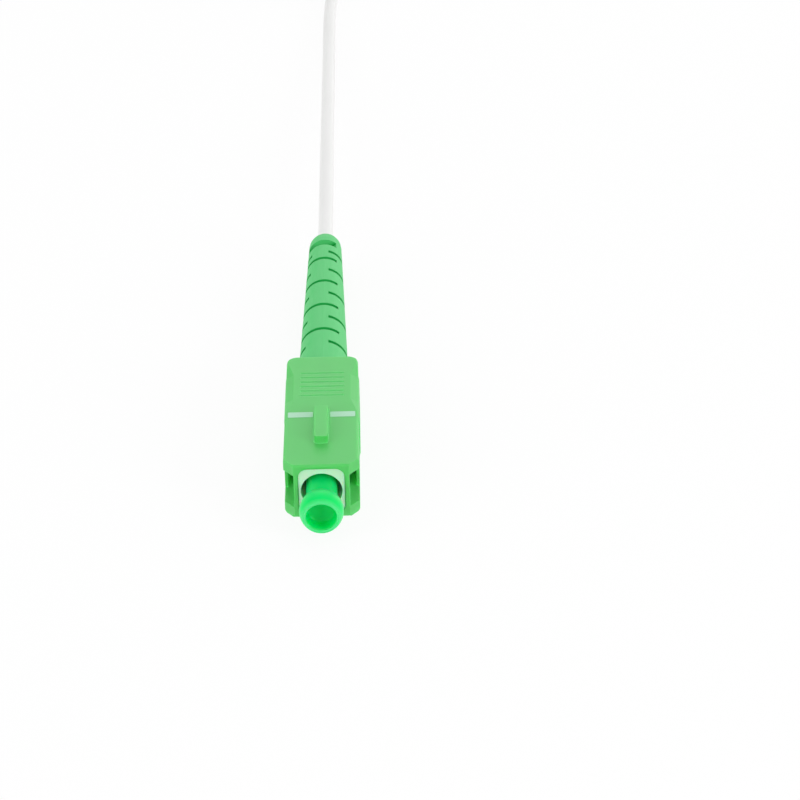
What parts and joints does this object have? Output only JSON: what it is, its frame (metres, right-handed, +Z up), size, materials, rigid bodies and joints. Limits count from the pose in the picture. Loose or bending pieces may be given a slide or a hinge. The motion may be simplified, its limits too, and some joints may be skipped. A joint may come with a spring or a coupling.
{
  "type": "sc fibre connector",
  "caption": "Square push-pull angled-polish fibre connector with a slotted bend boot, dust cap and white single-fibre cable whose spare length is folded and tied.",
  "frame": {"origin": "centre of the push-pull housing's flat underside", "axes": "+Z up through the key on the housing's top face, +Y along the fibre from the mating end towards the cable, +X to the right seen from the mating end"},
  "size_m": [0.0188, 0.2313, 0.0094],
  "materials": {
    "housing_green": "moulded satin",
    "boot_green": "moulded soft matte",
    "cap_green": "moulded, slightly translucent",
    "frame_white": "moulded satin",
    "zirconia": "ground and polished ceramic",
    "nickel_plated_brass": "turned and plated",
    "spring_steel": "drawn wire",
    "crimp_metal": "pressed",
    "ptfe": "extruded",
    "fibre_glass": "drawn",
    "fibre_buffer": "extruded",
    "aramid": "spread yarn",
    "jacket_white": "extruded matte",
    "tie_fabric": "woven hook-and-loop"
  },
  "bodies": {
    "plug_body": {"plug_frame": "frame_white", "stop_ring": "nickel_plated_brass", "aramid_yarn": "aramid", "crimp_ring": "crimp_metal", "boot": "boot_green", "cable": "jacket_white", "cable_hank": "jacket_white", "hank_tie": "tie_fabric", "ferrule_spring": "spring_steel"},
    "grip": {"outer_housing": "housing_green"},
    "ferrule_unit": {"ferrule": "zirconia", "ferrule_flange": "nickel_plated_brass", "guide_tube": "ptfe", "bare_fibre": "fibre_glass", "buffered_fibre": "fibre_buffer"},
    "cap": {"dust_cap": "cap_green"}
  },
  "joints": [
    {"name": "grip_slide", "type": "slide", "parent": "plug_body", "child": "grip", "axis": [0, 1, 0], "range_m": [0, 0.0013]},
    {"name": "ferrule_float", "type": "slide", "parent": "plug_body", "child": "ferrule_unit", "axis": [0, 1, 0], "range_m": [0, 0.001], "stiffness_N_per_m": 1500, "deforming": ["ferrule_spring"]},
    {"name": "cap_pull", "type": "slide", "parent": "ferrule_unit", "child": "cap", "axis": [0, -1, 0], "range_m": [0, 0.012]}
  ]
}
